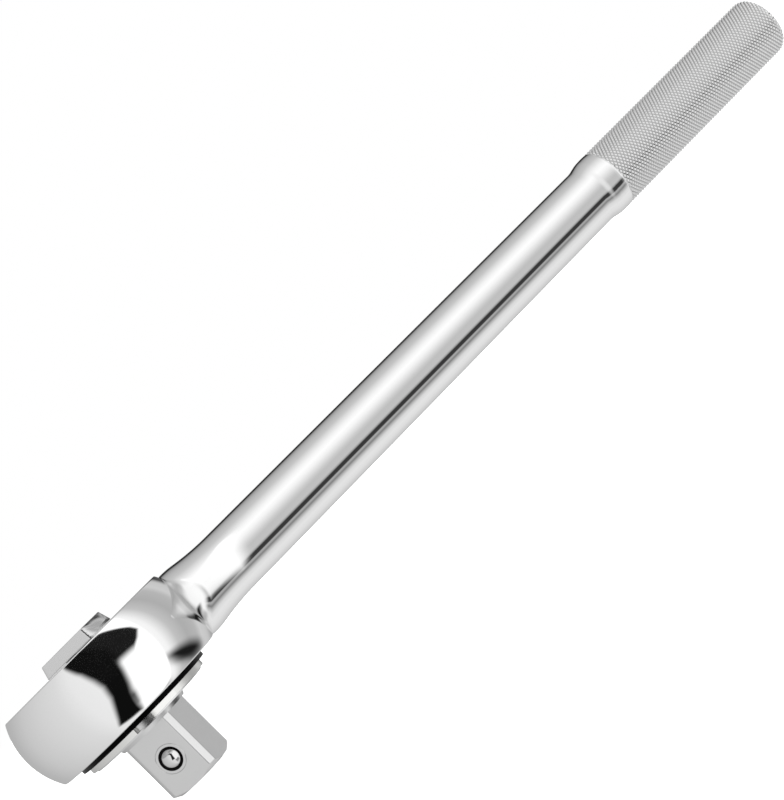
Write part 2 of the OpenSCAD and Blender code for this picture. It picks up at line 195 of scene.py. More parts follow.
def make_finishes():
    """Every material, by its record slot."""
    return {
        # Forged steel, polished and hard chromed: a mirror that waves a little with the polishing,
        # and darker in the knurl's grooves as painted shade
        "chrome_forging": metal("polished_hard_chrome", "EEEEEE", 0.05, 0.015, (14.0, 0.004),
                                painted_shade="C4C4C4"),
        # Punched steel, dull zinc: a soft grey sheen
        "steel_washer": metal("zinc_plated_steel", "B4B7B8", 0.34, 0.05, (4.0, 0.004)),
        # Alloy steel, ground along its flats and satin chromed: bright but never mirror sharp, and
        # nearly black in the ball's seat as painted shadow
        "satin_spindle": metal("satin_chrome_on_ground_steel", "D4D4D4", 0.24, 0.03,
                               (9.0, 0.004), (0.16, 0.004, 5.0), painted_shade="161616"),
        # Punched steel, black oxide: nearly black, with an oily gleam
        "black_plate": metal("black_oxide_steel", "0B0B0C", 0.42, 0.06, (5.0, 0.006)),
        # Spring steel, tumbled and bright nickel plated
        "bright_ring": metal("bright_nickel_spring_steel", "E0E0DE", 0.12, 0.03, (6.0, 0.004)),
        # Spring steel, phosphated: dark grey and dull
        "spring_clip": metal("phosphated_spring_steel", "4A4B4D", 0.42, 0.05, (3.0, 0.004)),
        # Sintered and hardened steel with an oil film: mid grey
        "pawl_steel": metal("hardened_sintered_steel", "8E8F90", 0.32, 0.05, (3.0, 0.006)),
        # Ground dowel steel: lines round the pin
        "pin_steel": metal("ground_dowel_steel", "BFC1C3", 0.16, 0.03, (3.0, 0.002)),
        # Drawn music wire: bright with a brown cast
        "spring_wire": metal("drawn_music_wire", "A39D92", 0.24, 0.03, (2.0, 0.002)),
        # Turned and hardened steel: fine turning marks
        "cam_steel": metal("turned_hardened_steel", "A4A6A8", 0.26, 0.04, (4.0, 0.003),
                           (0.2, 0.004, 1.0)),
        # Nitrile rubber, moulded: black and dull
        "seal_rubber": rubber("moulded_nitrile_rubber", "161616", 0.6),
        # Cast steel, tumbled and satin chromed: its edges are soft and its sheen broad
        "satin_lever": metal("tumbled_satin_chrome", "DCDCDC", 0.26, 0.03, (7.0, 0.006)),
        # Steel screw, zinc plated
        "screw_steel": metal("zinc_plated_screw", "9FA1A3", 0.28, 0.05, (2.0, 0.004)),
        # Through-hardened bearing ball, lapped: a clean small mirror
        "ball_steel": metal("lapped_bearing_steel", "DADADA", 0.05, 0.01, (5.0, 0.0005)),
    }


FINISH = {}


def finish_of(slot):
    """The material of a record slot, made with all the others when first asked for."""
    if not FINISH:
        FINISH.update(make_finishes())
    return FINISH[slot]


# Surfaces


def faces_of(rows, ring=False):
    """Faces of a tube of rows by columns. Columns always close; rows close too for a ring,
    and otherwise the first and last row are each covered by one flat face."""
    count, columns = rows.shape[:2]
    index = np.arange(count * columns).reshape(count, columns)
    low = index if ring else index[:-1]
    high = np.roll(index, -1, 0) if ring else index[1:]
    quads = np.stack([low, np.roll(low, -1, 1), np.roll(high, -1, 1), high], -1)
    faces = quads.reshape(-1, 4).tolist()
    if not ring:
        faces += [index[0, ::-1].tolist(), index[-1].tolist()]
    return faces


def raw_object(name, points, faces):
    """A linked object from points in mm. The shell's volume tells whether to turn it outwards."""
    mesh = bpy.data.meshes.new(name)
    mesh.from_pydata((np.asarray(points, float).reshape(-1, 3) * MM).tolist(), [], faces)
    mesh.calc_loop_triangles()
    corners = np.zeros(len(mesh.loop_triangles) * 3, np.int32)
    mesh.loop_triangles.foreach_get("vertices", corners)
    places = np.zeros(len(mesh.vertices) * 3, np.float32)
    mesh.vertices.foreach_get("co", places)
    a, b, c = places.reshape(-1, 3)[corners.reshape(-1, 3)].transpose(1, 0, 2).astype(float)
    if np.einsum("ij,ij->", a, np.cross(b, c)) < 0:
        mesh.flip_normals()
    obj = bpy.data.objects.new(name, mesh)
    bpy.context.scene.collection.objects.link(obj)
    return obj


def dress(obj, body, slot, stands_for=(), crease=32.0):
    """Gives a piece its shading, the material of its record slot and its body, and hides the CAD
    nodes it stands for.
    """
    obj.data.shade_smooth()
    obj.data.set_sharp_from_angle(angle=math.radians(crease))
    obj.data.materials.clear()
    obj.data.materials.append(finish_of(slot))
    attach(obj, body)
    if stands_for:
        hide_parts(*stands_for)
    return obj


def revolve(profile, columns, phase=0.0):
    """Rows of a surface of revolution about Z: a profile of radius and height, carried round."""
    profile = np.asarray(profile, float)
    angle = phase + np.linspace(0, 2 * np.pi, columns, endpoint=False)
    r, z = profile[:, :1], profile[:, 1:]
    return np.stack([r * np.cos(angle), r * np.sin(angle), z + 0 * angle], -1)


def smooth_step(t):
    """3t^2 - 2t^3 between 0 and 1."""
    t = np.clip(t, 0, 1)
    return t * t * (3 - 2 * t)


def soft_least(a, b, width):
    """The smaller of two values, rounded where they are within about width of each other."""
    return (a + b - np.sqrt((a - b) ** 2 + width ** 2)) / 2


def turned(points, angle):
    """Points turned about Z."""
    c, s = math.cos(angle), math.sin(angle)
    return np.asarray(points) @ np.array([[c, s, 0], [-s, c, 0], [0, 0, 1]])


def cut(obj, cutter):
    """Takes a closed cutter out of a piece, and removes the cutter."""
    step = obj.modifiers.new("cut", "BOOLEAN")
    step.operation = "DIFFERENCE"
    step.solver = "EXACT"
    step.object = cutter
    graph = bpy.context.evaluated_depsgraph_get()
    mesh = bpy.data.meshes.new_from_object(obj.evaluated_get(graph))
    obj.modifiers.clear()
    obj.data = mesh
    bpy.data.objects.remove(cutter)


def merged_copy(node, name):
    """A copy of a CAD node's mesh with its loose triangles joined."""
    mesh = frame["nodes"][node].data.copy()
    mesh.name = name
    work = bmesh.new()
    work.from_mesh(mesh)
    bmesh.ops.remove_doubles(work, verts=work.verts, dist=0.002 * MM)
    bmesh.ops.dissolve_limit(work, angle_limit=math.radians(0.4), verts=work.verts,
                             edges=work.edges)
    work.to_mesh(mesh)
    work.free()
    obj = bpy.data.objects.new(name, mesh)
    bpy.context.scene.collection.objects.link(obj)
    return obj


def bevelled_copy(node, name, slot, width):
    """A CAD node's shape with its sharp edges broken by a small round of that width in mm."""
    obj = merged_copy(node, name)
    edge = obj.modifiers.new("edges", "BEVEL")
    edge.width = width * MM
    edge.segments = 3
    edge.limit_method = "ANGLE"
    edge.angle_limit = math.radians(40)
    edge.harden_normals = True
    return dress(obj, frame["nodes"][node]["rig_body"], slot, (node,))


# The forging


class RatchetForging(bpy.types.PropertyGroup):
    bulge_r: bpy.props.FloatProperty(
        name="Head radius", description="Radius of the head where its side is fullest",
        default=-HEAD_LOW.x, unit="LENGTH")
    rim_r: bpy.props.FloatProperty(
        name="Rim radius", description="Radius of the head at its two rims",
        default=0.0316, unit="LENGTH")
    shank_r: bpy.props.FloatProperty(
        name="Shank radius", description="Radius of the shank next to the neck",
        default=0.01085, unit="LENGTH")
    shank_end_r: bpy.props.FloatProperty(
        name="Shank end radius", description="Radius of the shank just before the grip",
        default=0.0103, unit="LENGTH")
    grip_r: bpy.props.FloatProperty(
        name="Grip radius", description="Radius over the crests of the knurl",
        default=0.01125, unit="LENGTH")
    grip_start: bpy.props.FloatProperty(
        name="Grip start", description="Distance from the drive axis to the start of the knurl",
        default=0.234, unit="LENGTH")
    knurl_starts: bpy.props.IntProperty(
        name="Knurl starts", description="Grooves of each hand round the grip", default=33)
    knurl_pitch: bpy.props.FloatProperty(
        name="Knurl pitch", description="Length of one diamond along the grip",
        default=0.00124, unit="LENGTH")
    knurl_depth: bpy.props.FloatProperty(
        name="Knurl depth", description="Depth of the knurl's grooves",
        default=0.00043, unit="LENGTH")


def head_radius(z, rim, bulge):
    """Radius of the crowned side at height z: an arc through both rims and the fullest point."""
    half = (HEAD_TOP - HEAD_Z) / 2
    arc = (half ** 2 + (bulge - rim) ** 2) / (2 * (bulge - rim))
    return bulge - arc + np.sqrt(arc ** 2 - np.clip(z - HEAD_MID, -half, half) ** 2)


def head_rows(rim, bulge):
    """The head: its section is carried round the drive axis, and inside, the wall steps in and
    out 24 times between tooth root and tip, each tooth a trapezium in angle."""
    wall_z = np.linspace(HEAD_Z + 0.4, HEAD_TOP - 0.4, 61)
    wall = np.stack([head_radius(wall_z, rim, bulge), wall_z], -1)
    edge = np.radians(np.linspace(0, 75, 6))[:-1]
    low_edge = np.stack([rim - 0.4 + 0.6 * np.sin(edge), HEAD_Z + 0.45 * (1 - np.cos(edge))], -1)
    high_edge = low_edge[::-1] * (1, -1) + (0, HEAD_Z + HEAD_TOP)
    bearing_r, recess_r, bore_r = 24.6, 17.6, 14.5
    floor_z, bearing_z, cavity_z = HEAD_TOP - 2.6, HEAD_Z + 4.2, HEAD_Z + 20.2
    outline = np.concatenate([
        [[bearing_r, HEAD_Z + 0.3], [bearing_r + 0.3, HEAD_Z]], low_edge, wall, high_edge,
        [[recess_r + 0.4, HEAD_TOP], [recess_r, HEAD_TOP - 0.4], [recess_r, floor_z],
         [bore_r, floor_z], [bore_r, cavity_z]],
        [[0, cavity_z], [0, bearing_z], [bearing_r, bearing_z]]])
    columns = 480
    rows = revolve(outline, columns)
    angle = np.linspace(0, 2 * np.pi, columns, endpoint=False)
    pitch, first, half_foot, flank = 360 / 24, 29, 5.4, 3.2
    root_r, tooth_h = 24.2, 2.0
    tooth = np.abs((np.degrees(angle) + first + pitch / 2) % pitch - pitch / 2)
    bore = root_r - tooth_h * np.clip((half_foot - tooth) / flank, 0, 1)
    for row in (-3, -2):
        rows[row, :, 0], rows[row, :, 1] = bore * np.cos(angle), bore * np.sin(angle)
    return rows


def knurl_height(columns, rows):
    """Height of the knurl, from 0 in a groove to 1 on a crest, on a lattice of quarter pitches:
    the lower of two trapezium waves, one for each hand of helix."""
    wave = np.array([0.0, 0.72, 1.0, 0.72])
    k, i = np.meshgrid(np.arange(rows), np.arange(columns), indexing="ij")
    return np.minimum(wave[(i + k) % 4], wave[(i - k) % 4])


def handle_rows(s):
    """The handle as rows round its own axis, from inside the head's wall to the end of the grip.

    Neck: a hollow arc level with the shank, plus an elliptical fillet against the head's side,
    widest at the handle's own sides, whose start is solved for each column. Shank: a slow taper.
    Band: a smooth step up, then a small lip. Grip: the knurl on a cylinder that ends in a quarter
    round. Returns the rows and where the knurl begins."""
    axis_drop = 0.7
    axis_z = HEAD_MID - axis_drop
    end_x = HEAD_HIGH.x / MM
    bulge, rim, grip_r = s.bulge_r / MM, s.rim_r / MM, s.grip_r / MM
    shank, shank_end, grip_x = s.shank_r / MM, s.shank_end_r / MM, s.grip_start / MM
    columns = 4 * s.knurl_starts
    angle = np.linspace(0, 2 * np.pi, columns, endpoint=False)
    side, up = np.cos(angle), np.sin(angle)
    neck_x, curve_r, neck_r, wall_at = 52.0, 85.0, 12.35, 33.5

    def neck(x):
        hollow = shank + curve_r - np.sqrt(curve_r ** 2 - np.clip(neck_x - x, 0, 40) ** 2)
        hidden = neck_r - 0.1 * np.clip(wall_at - x, 0, 20)
        return np.minimum(soft_least(hollow, neck_r, 0.3), hidden)

    def wall_x(extra):
        """Where a tube that much wider than the neck meets the head's side, by iteration."""
        x = np.full(columns, wall_at)
        for _ in range(12):
            r = neck(x) + extra
            x = np.sqrt(head_radius(axis_z + r * up, rim, bulge) ** 2 - (r * side) ** 2)
        return x

    fillet = 0.1 + 6.0 * side ** 4
    meet, end = wall_x(fillet), wall_x(0.0) + fillet
    bend = np.radians(np.linspace(0, 90, 17))[:, None]
    start_x = end - (end - meet) * np.cos(bend)
    start_r = neck(start_x) + fillet * (1 - np.sin(bend))
    inside_wall = 0.8
    start_x = np.concatenate([[meet - inside_wall], start_x])
    start_r = np.concatenate([start_r[:1], start_r])
    t = np.linspace(0, 1, 29)[1:, None]
    neck_rows_x = start_x[-1] + t * (neck_x - start_x[-1])
    neck_rows_r = neck(neck_rows_x)

    band_long, rise_long, lip, shy = 9.6, 5.6, 0.3, 0.1
    swell = grip_x - band_long
    shank_x = np.linspace(neck_x, swell, 19)[1:]
    shank_r = shank + (shank_end - shank) * (shank_x - neck_x) / (swell - neck_x)
    t = np.linspace(0, 1, 25)[1:]
    step_x = swell + rise_long * t
    step_r = shank_end + (grip_r - shy - shank_end) * smooth_step(t)
    t = np.linspace(0, 1, 12)[1:]
    band_end = grip_x - 0.5
    band_x = step_x[-1] + (band_end - step_x[-1]) * t
    band_r = grip_r - shy + 0.06 * np.sin(np.pi * t)
    turn = np.radians(np.linspace(0, 90, 6))[1:]
    lip_x = band_end + lip * np.sin(turn)
    lip_r = grip_r - shy - lip * (1 - np.cos(turn))
    plain_x = np.concatenate([shank_x, step_x, band_x, lip_x])
    plain_r = np.concatenate([shank_r, step_r, band_r, lip_r])

    round_r = 3.4
    pitch = s.knurl_pitch / MM
    straight = end_x - round_r - grip_x
    count = int((straight + round_r * np.pi / 2) / pitch * 4)
    path = np.linspace(0, straight + round_r * np.pi / 2, count)
    bend = np.clip(path - straight, 0, None) / round_r
    knurl_x = grip_x + np.minimum(path, straight) + round_r * np.sin(bend)
    knurl_r = grip_r - round_r * (1 - np.cos(bend))
    depth = s.knurl_depth / MM * (1 - smooth_step((bend - 0.9) / 0.6))
    drop = -depth[:, None] * (1 - knurl_height(columns, count))
    drop[0] = -s.knurl_depth / MM
    x = knurl_x[:, None] + drop * np.sin(bend)[:, None]
    r = knurl_r[:, None] + drop * np.cos(bend)[:, None]

    wide = np.ones(columns)
    all_x = np.concatenate([start_x, neck_rows_x, plain_x[:, None] * wide, x])
    all_r = np.concatenate([start_r, neck_rows_r, plain_r[:, None] * wide, r])
    rows = np.stack([all_x, all_r * side, axis_z + all_r * up], -1)
    return rows, len(all_x) - count


def knurl_faces(rows, first):
    """Faces of the handle. Over the knurl each cell is two triangles: split along its groove
    where both lattice corners lie in one, and across the slope from the crest elsewhere."""
    faces = faces_of(rows)
    count, columns = rows.shape[:2]
    plain = first * columns
    k, i = np.meshgrid(np.arange(first, count - 1), np.arange(columns), indexing="ij")
    j = (i + 1) % columns
    a, b = k * columns + i, k * columns + j
    c, d = a + columns, b + columns
    height = knurl_height(columns, count - first)
    cell = k - first
    even = (i + cell) % 2 == 0
    ends = np.where(even, height[cell, i] + height[cell + 1, j],
                    height[cell, j] + height[cell + 1, i])
    along = (ends < 0.5) == even
    one = np.where(along[..., None], np.stack([a, b, d], -1), np.stack([a, b, c], -1))
    two = np.where(along[..., None], np.stack([a, d, c], -1), np.stack([b, d, c], -1))
    triangles = np.concatenate([one.reshape(-1, 3), two.reshape(-1, 3)]).tolist()
    return faces[:plain] + triangles + faces[-2:], plain


class OBJECT_OT_ratchet_forging(bpy.types.Operator):
    """Build the head with its inner teeth, and the neck, shank, band and knurled grip"""
    bl_idname = "object.ratchet_forging"
    bl_label = "Forging"

    def execute(self, context):
        s = context.scene.ratchet_forging
        rows = head_rows(s.rim_r / MM, s.bulge_r / MM)
        head = raw_object("forged_head", rows, faces_of(rows, ring=True))
        dress(head, "handle", "chrome_forging", ("handle_body",))
        rows, first = handle_rows(s)
        faces, plain = knurl_faces(rows, first)
        handle = raw_object("forged_handle", rows, faces)
        dress(handle, "handle", "chrome_forging")
        # Painted shade in the knurl: the groove attribute is 1 at the bottom of each groove, where
        # the chrome's colour darkens, and fades out within 1.5 mm of the grip's end
        groove = np.zeros(rows.shape[:2])
        groove[first:] = (1 - knurl_height(rows.shape[1], len(rows) - first)) ** 3
        groove *= smooth_step((HEAD_HIGH.x / MM - rows[..., 0]) / 1.5)
        depth = handle.data.attributes.new("groove", "FLOAT", "POINT")
        depth.data.foreach_set("value", groove.astype(np.float32).ravel())
        smooth = np.ones(len(handle.data.polygons), bool)
        smooth[plain:] = False
        handle.data.polygons.foreach_set("use_smooth", smooth)
        return {"FINISHED"}


# The square drive


class RatchetDrive(bpy.types.PropertyGroup):
    width: bpy.props.FloatProperty(
        name="Width", description="Width across the flats of the square",
        default=0.01905, unit="LENGTH")
    chamfer: bpy.props.FloatProperty(
        name="Edge flat", description="Width taken off each side at the long edges",
        default=0.0017, unit="LENGTH")
    end_r: bpy.props.FloatProperty(
        name="End radius", description="Radius of the end face inside its turned crown",
        default=0.0096, unit="LENGTH")
    turn: bpy.props.FloatProperty(
        name="Turn", description="Turn of the drive about its axis at rest",
        default=math.radians(-29), subtype="ANGLE")
    ball_d: bpy.props.FloatProperty(
        name="Ball diameter", description="Diameter of the ball that holds a socket",
        default=0.00714, unit="LENGTH")


def square_rows(half, flat, end_r, low):
    """The square: at each height and angle the surface is the least of four flats, four edge
    flats and the end's crown, a sphere; a small round leads into the end face."""
    angle = np.linspace(0, 2 * np.pi, 720, endpoint=False)
    crown, edge_r = 22.7, 0.2
    centre = low + math.sqrt(crown ** 2 - end_r ** 2)
    turn = (angle + np.pi / 4) % (np.pi / 2) - np.pi / 4
    corner = np.abs(angle % (np.pi / 2) - np.pi / 4)
    outline = soft_least(half / np.cos(turn), (half + flat) / math.sqrt(2) / np.cos(corner), 0.12)
    heights = np.concatenate([
        [0.4], np.linspace(0, low + 2.4, 9), np.linspace(low + 2.2, low + edge_r, 30)])
    sphere = np.sqrt(crown ** 2 - (heights - centre) ** 2)
    r = soft_least(outline[None], sphere[:, None], 0.14)
    z = heights[:, None] + 0 * r
    edge = np.radians(np.linspace(0, 90, 7))[1:]
    r_edge = r[-1] - edge_r * (1 - np.cos(edge))[:, None]
    z_edge = low + edge_r * (1 - np.sin(edge))[:, None] + 0 * r_edge
    r = np.concatenate([r, r_edge, r_edge[-1:] * 0.5, r_edge[-1:] * 0.02])
    z = np.concatenate([z, z_edge, z_edge[-1:], z_edge[-1:]])
    return np.stack([r * np.cos(angle), r * np.sin(angle), z], -1)


class OBJECT_OT_ratchet_drive(bpy.types.Operator):
    """Build the square with its ball hole, the spindle above it, and the ball"""
    bl_idname = "object.ratchet_drive"
    bl_label = "Square drive"

    def execute(self, context):
        s = context.scene.ratchet_drive
        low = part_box("drive_spindle")[0].z / MM
        half = s.width / MM / 2
        rows = square_rows(half, half - s.chamfer / MM, s.end_r / MM, low)
        square = raw_object("square_drive", turned(rows, s.turn), faces_of(rows))

        ball_r = s.ball_d / MM / 2
        low_ball, high_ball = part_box("drive_ball")
        centre = np.array((low_ball + high_ball) / 2) / MM
        inward = np.array([-math.sin(s.turn), math.cos(s.turn), 0])
        face = centre - inward * (inward @ centre + half)
        # The ball's seat: a steep wall, a lip just under the ball's radius, then the bore
        seat_r, bore_depth = ball_r + 0.36, 9.0
        hole = revolve([[0.01, -1], [seat_r, -1], [seat_r, 0], [seat_r - 0.04, 0.07],
                        [seat_r - 0.16, 0.5], [ball_r - 0.17, 0.6], [ball_r - 0.17, 0.8],
                        [ball_r + 0.08, 0.85], [ball_r + 0.08, bore_depth],
                        [0.01, bore_depth]], 96)
        stake = revolve([[4.70, -0.3], [4.95, -0.3], [4.95, 0.02], [4.83, 0.13], [4.70, 0.02]], 96)
        side = np.cross([0, 0, 1], inward)
        turn = np.stack([side, [0, 0, 1], inward])
        cut(square, raw_object("hole", face + hole @ turn, faces_of(hole)))
        cut(square, raw_object("stake", face + stake @ turn, faces_of(stake, ring=True)))
        # Painted shadow in the ball's seat: the groove attribute is 1 on the seat's wall, lip and
        # bore, where the satin chrome turns nearly black
        places = np.zeros(len(square.data.vertices) * 3)
        square.data.vertices.foreach_get("co", places)
        places = places.reshape(-1, 3) / MM - face
        depth = places @ inward
        reach = np.linalg.norm(places - depth[:, None] * inward, axis=1)
        shadowed_seat = (depth > 0.03) & (depth < bore_depth + 0.5) & (reach < seat_r)
        seat_shade = square.data.attributes.new("groove", "FLOAT", "POINT")
        seat_shade.data.foreach_set("value", shadowed_seat.astype(np.float32))
        dress(square, "drive", "satin_spindle", ("drive_spindle",))

        upper = merged_copy("drive_spindle", "spindle")
        work = bmesh.new()
        work.from_mesh(upper.data)
        bmesh.ops.bisect_plane(work, geom=work.verts[:] + work.edges[:] + work.faces[:],
                               plane_co=(0, 0, 0.2 * MM), plane_no=(0, 0, -1), clear_outer=True)
        bmesh.ops.holes_fill(work, edges=[e for e in work.edges if e.is_boundary])
        work.to_mesh(upper.data)
        work.free()
        dress(upper, "drive", "satin_spindle")

        around = np.radians(np.linspace(-89, 89, 48))
        ball = revolve(np.stack([ball_r * np.cos(around), ball_r * np.sin(around)], -1), 96)
        ball = raw_object("socket_ball", centre + ball, faces_of(ball))
        dress(ball, "socket_ball", "ball_steel", ("drive_ball",))
        return {"FINISHED"}


# The lever


class RatchetLever(bpy.types.PropertyGroup):
    foot_r: bpy.props.FloatProperty(
        name="Foot radius", description="Radius of the lever at its foot",
        default=0.0132, unit="LENGTH")
    top_r: bpy.props.FloatProperty(
        name="Top radius", description="Radius of the lever at its top",
        default=0.0122, unit="LENGTH")
    foot_half: bpy.props.FloatProperty(
        name="Foot half width", description="Half the distance between the flat sides at the foot",
        default=0.0084, unit="LENGTH")
    top_half: bpy.props.FloatProperty(
        name="Top half width", description="Half the distance between the flat sides at the top",
        default=0.0077, unit="LENGTH")
    turn: bpy.props.FloatProperty(
        name="Turn", description="Direction of the lever's long side at rest",
        default=math.radians(-34), subtype="ANGLE")


def lever_rows(s, low, high):
    """The lever: its outline is the least of a circle and two flats, drawn in with height; a
    quarter round, larger at the ends than along the flats, leads to the top, which dips into a
    countersink round the screw; below, a square pocket takes the cam's post."""
    angle = np.linspace(0, 2 * np.pi, 360, endpoint=False)
    side, up = np.abs(np.cos(angle)), np.abs(np.sin(angle))

    def outline(t):
        r = (s.foot_r + (s.top_r - s.foot_r) * t) / MM
        w = (s.foot_half + (s.top_half - s.foot_half) * t) / MM
        return soft_least(r + 0 * angle, w / np.maximum(up, 0.05), 0.25)

    least_edge, more_edge, thread_r, pocket_h = 0.45, 2.9, 2.1, 2.45
    edge = least_edge + more_edge * smooth_step((side - 0.79) / 0.2)
    side_t = np.linspace(0.06, 1, 9)[:, None]
    wall_top = high - edge
    wall_z = low + side_t * (wall_top - low)
    wall_r = np.stack([outline(t) for t in side_t[:, 0]])
    bend = np.radians(np.linspace(0, 90, 9))[1:, None]
    round_r = outline(1.0) - edge * (1 - np.cos(bend))
    round_z = high - edge * (1 - np.sin(bend))
    screw = np.array([[3.95, high], [3.75, high - 0.15], [thread_r, low + pocket_h]])
    screw_r, screw_z = screw[:, :1] + 0 * angle, screw[:, 1:] + 0 * angle
    pocket = 4.25 / np.maximum(side, up)
    foot = outline(0.0) - 0.15
    r = np.concatenate([[foot], wall_r, round_r, screw_r, [pocket, pocket]])
    z = np.concatenate([[low + 0 * foot], wall_z, round_z, screw_z,
                        [low + pocket_h + 0 * foot, low + 0 * foot]])
    return np.stack([r * np.cos(angle), r * np.sin(angle), z], -1)


class OBJECT_OT_ratchet_lever(bpy.types.Operator):
    """Build the reversing lever and its screw"""
    bl_idname = "object.ratchet_lever"
    bl_label = "Lever"

    def execute(self, context):
        s = context.scene.ratchet_lever
        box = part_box("reversing_lever")
        rows = lever_rows(s, box[0].z / MM, box[1].z / MM)
        lever = raw_object("thumb_lever", turned(rows, s.turn), faces_of(rows, ring=True))
        dress(lever, "selector", "satin_lever", ("reversing_lever",), 40.0)
        bevelled_copy("lever_screw", "countersunk_screw", "screw_steel", 0.1)
        return {"FINISHED"}


# Plate, rings and the parts inside


class OBJECT_OT_ratchet_rings(bpy.types.Operator):
    """Build the black cover plate and the rings, with their edges broken"""
    bl_idname = "object.ratchet_rings"
    bl_label = "Plate and rings"

    def execute(self, context):
        low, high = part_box("cover_plate")
        bottom, top, outer = low.z / MM, high.z / MM, high.x / MM
        inner, edge = 22.05, 0.2
        # A thin lip hides the upper quarter of the ring's edge
        ring_low, ring_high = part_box("split_ring")
        lip_in = ring_high.x / MM + 0.05
        lip_low = (0.74 * ring_high.z + 0.26 * ring_low.z) / MM
        lip = max(outer, lip_in + 0.25)
        section = [[inner, bottom + edge], [inner + edge, bottom], [lip_in, bottom],
                   [lip_in, lip_low], [lip - 0.1, lip_low], [lip, lip_low + 0.15],
                   [lip, bottom + 0.05], [outer, bottom + 0.1], [outer, top - edge],
                   [outer - edge, top], [inner + edge, top], [inner, top - edge]]
        rows = revolve(section, 192)
        plate = raw_object("black_cover", rows, faces_of(rows, ring=True))
        dress(plate, "drive", "black_plate", ("cover_plate",))
        bevelled_copy("split_ring", "retaining_ring", "bright_ring", 0.22)
        bevelled_copy("spindle_circlip", "top_circlip", "spring_clip", 0.1)
        return {"FINISHED"}


class OBJECT_OT_ratchet_inside(bpy.types.Operator):
    """Give every CAD node that still shows the material of its slot"""
    bl_idname = "object.ratchet_inside"
    bl_label = "Parts inside"

    def execute(self, context):
        for obj in frame["nodes"].values():
            for place in obj.material_slots:
                place.material = finish_of(place.material.name.split(".")[0])
        return {"FINISHED"}


# The studio


class RatchetStage(bpy.types.PropertyGroup):
    camera_place: bpy.props.FloatVectorProperty(
        name="Camera place", description="Where the camera stands",
        default=(-0.04116, -0.62436, 0.03266), size=3, subtype="XYZ", unit="LENGTH")
    yaw: bpy.props.FloatProperty(
        name="Yaw", description="Turn of the view from +Y towards +X",
        default=math.radians(15), subtype="ANGLE")
    pitch: bpy.props.FloatProperty(
        name="Pitch", description="Tilt of the view above the level",
        default=math.radians(-1.3), subtype="ANGLE")
    roll: bpy.props.FloatProperty(
        name="Roll", description="Turn of the camera about its own view",
        default=math.radians(45), subtype="ANGLE")
    lens: bpy.props.FloatProperty(
        name="Lens", description="Focal length for a 36 mm sensor", default=90.0)
    light: bpy.props.FloatProperty(
        name="Light", description="Strength of the studio's surroundings", default=1.18)
    floor: bpy.props.FloatVectorProperty(
        name="Floor colour", description="Pale floor", default=linear("F7F7F7")[:3],
        size=3, subtype="COLOR")


def sky_profile():
    """Grey of the surroundings by angle about the handle: 0 is level and in front, positive
    goes down. Overhead is a soft light, in front a grey wall, below a dark table edge and a
    pale table."""
    return [(-180, "6A6A6A"), (-165, "303030"), (-147, "2C2C2C"), (-139, "8A8A8A"),
            (-128, "A4A4A4"), (-114, "B4B4B4"), (-92, "C4C4C4"), (-74, "E0E0E0"), (-58, "F5F5F5"),
            (-44, "FFFFFF"), (-30, "F4F4F4"), (-16, "E0E0E0"), (-3, "CACACA"), (6, "BEBEBE"),
            (25, "C0C0C0"), (30, "A0A0A0"), (34, "343434"), (45, "3A3A3A"), (49, "B0B0B0"),
            (58, "7C7C7C"), (66, "B4B4B4"), (76, "D8D8D8"), (92, "E3E3E3"), (112, "DDDDDD"),
            (132, "CECECE"), (150, "C2C2C2"), (180, "8C8C8C")]


def side_profile():
    """Grey of the surroundings by bearing, away from the handle's own plane: 0 is in front and
    positive is towards the grip. Pale walls, brightest at the front right."""
    return [(-180, "A4A4A4"), (-150, "B2B2B2"), (-120, "C4C4C4"), (-90, "CFCFCF"),
            (-60, "D8D8D8"), (-38, "E6E6E6"), (-15, "EAEAEA"), (10, "EAEAEA"), (30, "FFFFFF"),
            (64, "F4F4F4"), (80, "C0C0C0"), (98, "ACACAC"), (116, "B4B4B4"), (126, "CACACA"),
            (150, "BDBDBD"), (180, "A4A4A4")]


